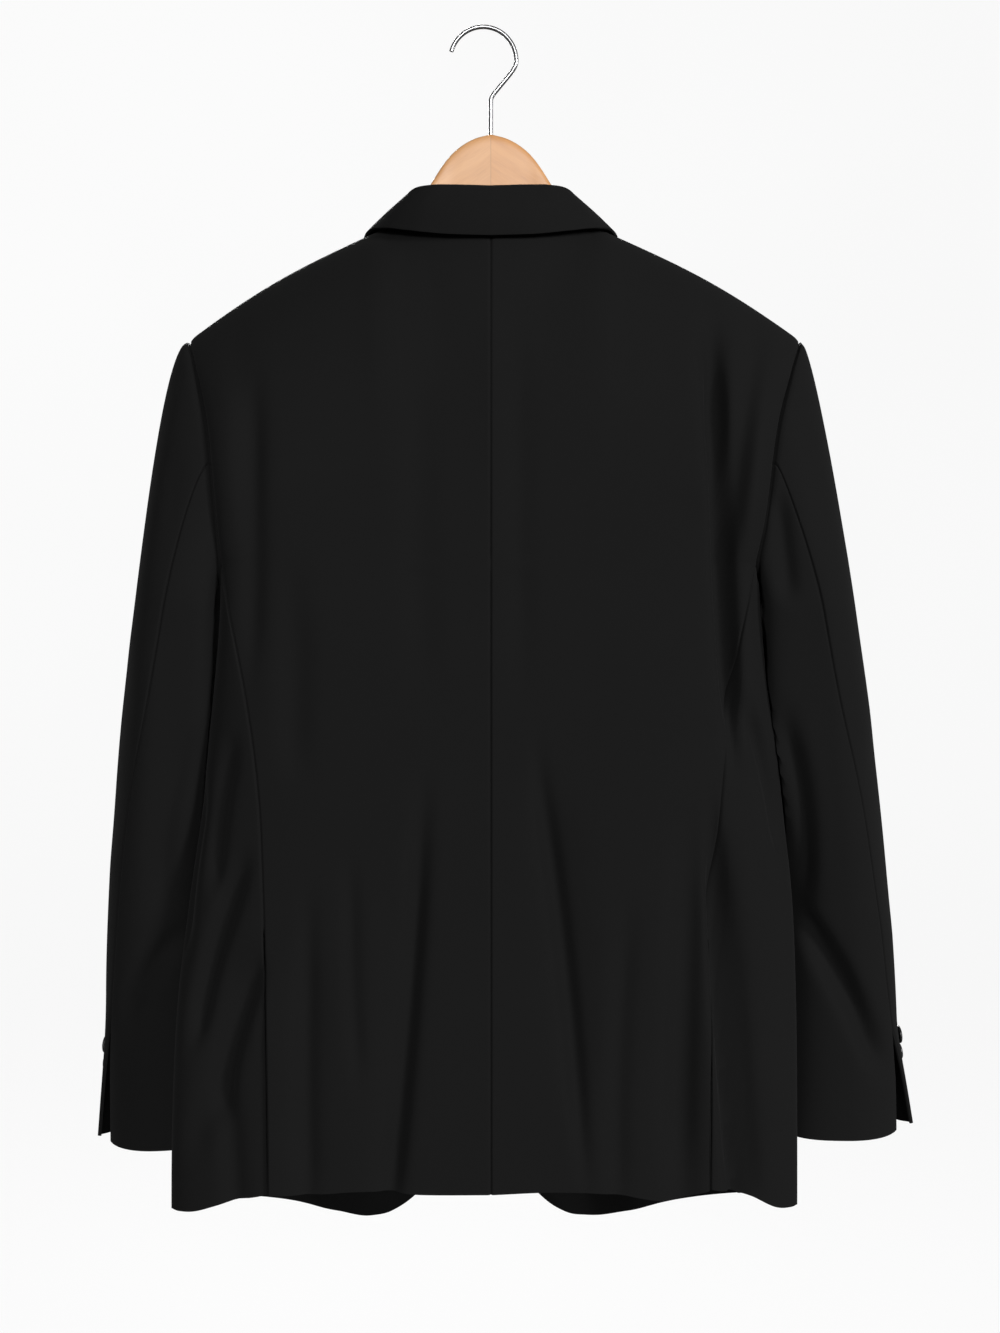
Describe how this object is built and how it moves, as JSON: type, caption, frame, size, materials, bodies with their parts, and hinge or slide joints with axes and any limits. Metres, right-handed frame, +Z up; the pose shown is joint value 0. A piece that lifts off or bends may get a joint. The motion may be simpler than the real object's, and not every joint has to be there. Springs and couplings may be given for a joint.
{
  "type": "tuxedo jacket on a wooden hanger with a wire hook",
  "caption": "Black single-breasted dinner jacket with satin peaked lapels, double vents and open cuffs, hanging closed on a pale wooden hanger with a wire hook.",
  "frame": {"origin": "underside of the top of the hanger's hook, where a peg carries it", "axes": "+Z up, -Y out of the jacket's front, +X towards the wearer's left"},
  "size_m": [0.693, 0.1878, 0.9791],
  "materials": {
    "wool": "matt fine twill",
    "satin": "soft sheen",
    "maple": "clear satin varnish",
    "steel": "bright drawn wire"
  },
  "bodies": {
    "root": {"back_left": "wool", "side_left": "wool", "vent_underlap_left": "wool", "front_left": "wool", "top_sleeve_left": "wool", "under_sleeve_left": "wool", "lapel_left": "satin", "pocket_jet_left": "satin", "cuff_button_left_1": "satin", "cuff_button_left_2": "satin", "cuff_button_left_3": "satin", "cuff_button_left_4": "satin", "back_right": "wool", "side_right": "wool", "vent_underlap_right": "wool", "front_right": "wool", "top_sleeve_right": "wool", "under_sleeve_right": "wool", "lapel_right": "satin", "pocket_jet_right": "satin", "cuff_button_right_1": "satin", "cuff_button_right_2": "satin", "cuff_button_right_3": "satin", "cuff_button_right_4": "satin", "collar": "wool", "breast_welt": "satin", "front_button": "satin", "hanger": "maple", "hook": "steel"}
  },
  "joints": []
}
